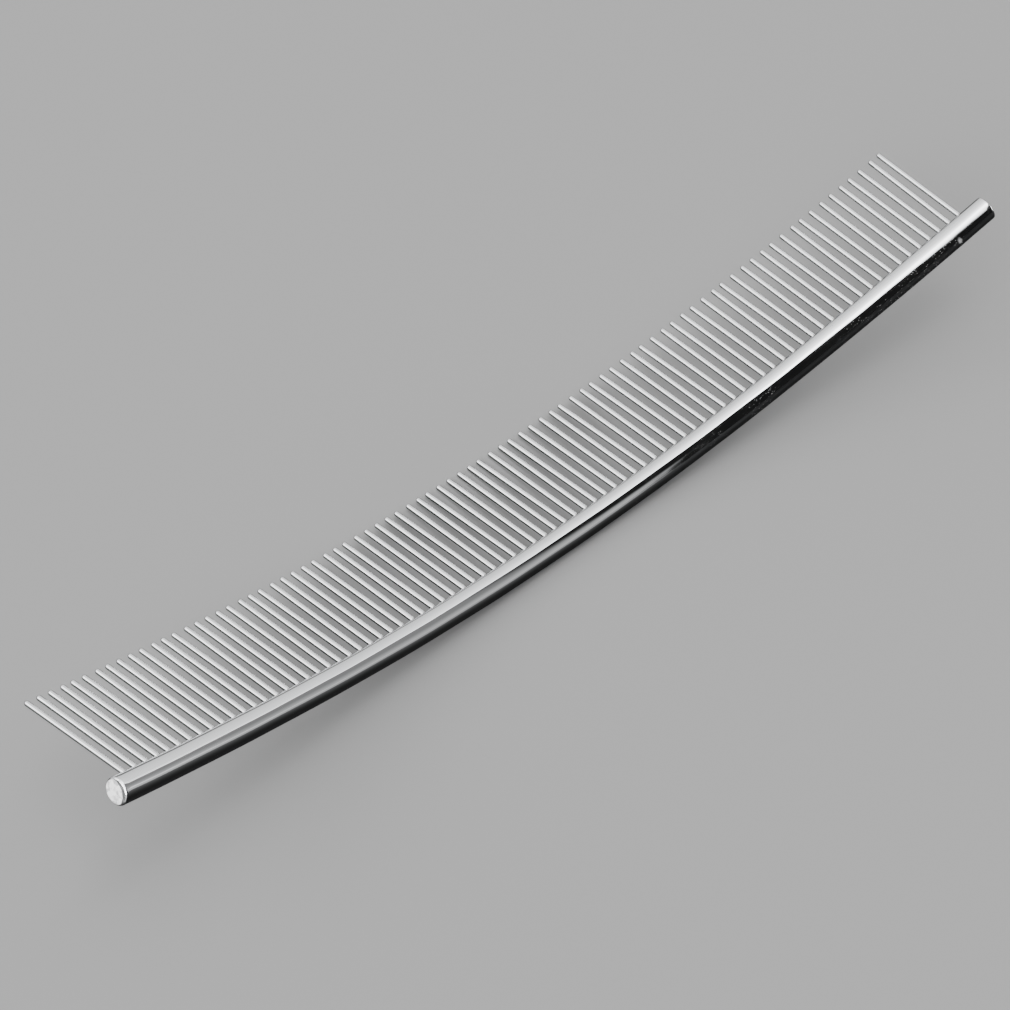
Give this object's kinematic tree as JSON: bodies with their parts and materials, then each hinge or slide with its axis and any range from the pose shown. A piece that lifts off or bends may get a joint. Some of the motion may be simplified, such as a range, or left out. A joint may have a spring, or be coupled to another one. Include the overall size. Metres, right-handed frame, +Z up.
{
  "type": "steel grooming comb",
  "caption": "Handheld steel grooming comb: a bent, round, polished chrome spine with one row of long, round-tipped polished steel pins.",
  "frame": {"origin": "on the surface the comb lies on, under the middle of its outline", "axes": "+X along the comb, +Y from the spine towards the pins' tips, +Z up from the surface it lies on"},
  "size_m": [0.2526, 0.0396, 0.0303],
  "materials": {
    "spine_chrome": "mirror polished",
    "pin_steel": "polished"
  },
  "bodies": {
    "root": {"spine": "spine_chrome", "pins_01": "pin_steel", "pins_02": "pin_steel", "pins_03": "pin_steel", "pins_04": "pin_steel", "pins_05": "pin_steel", "pins_06": "pin_steel", "pins_07": "pin_steel", "pins_08": "pin_steel", "pins_09": "pin_steel", "pins_10": "pin_steel", "pins_11": "pin_steel", "pins_12": "pin_steel", "pins_13": "pin_steel", "pins_14": "pin_steel", "pins_15": "pin_steel", "pins_16": "pin_steel", "pins_17": "pin_steel", "pins_18": "pin_steel", "pins_19": "pin_steel", "pins_20": "pin_steel", "pins_21": "pin_steel", "pins_22": "pin_steel", "pins_23": "pin_steel", "pins_24": "pin_steel", "pins_25": "pin_steel", "pins_26": "pin_steel", "pins_27": "pin_steel", "pins_28": "pin_steel", "pins_29": "pin_steel", "pins_30": "pin_steel", "pins_31": "pin_steel", "pins_32": "pin_steel", "pins_33": "pin_steel", "pins_34": "pin_steel", "pins_35": "pin_steel", "pins_36": "pin_steel", "pins_37": "pin_steel", "pins_38": "pin_steel", "pins_39": "pin_steel", "pins_40": "pin_steel", "pins_41": "pin_steel", "pins_42": "pin_steel"}
  },
  "joints": []
}
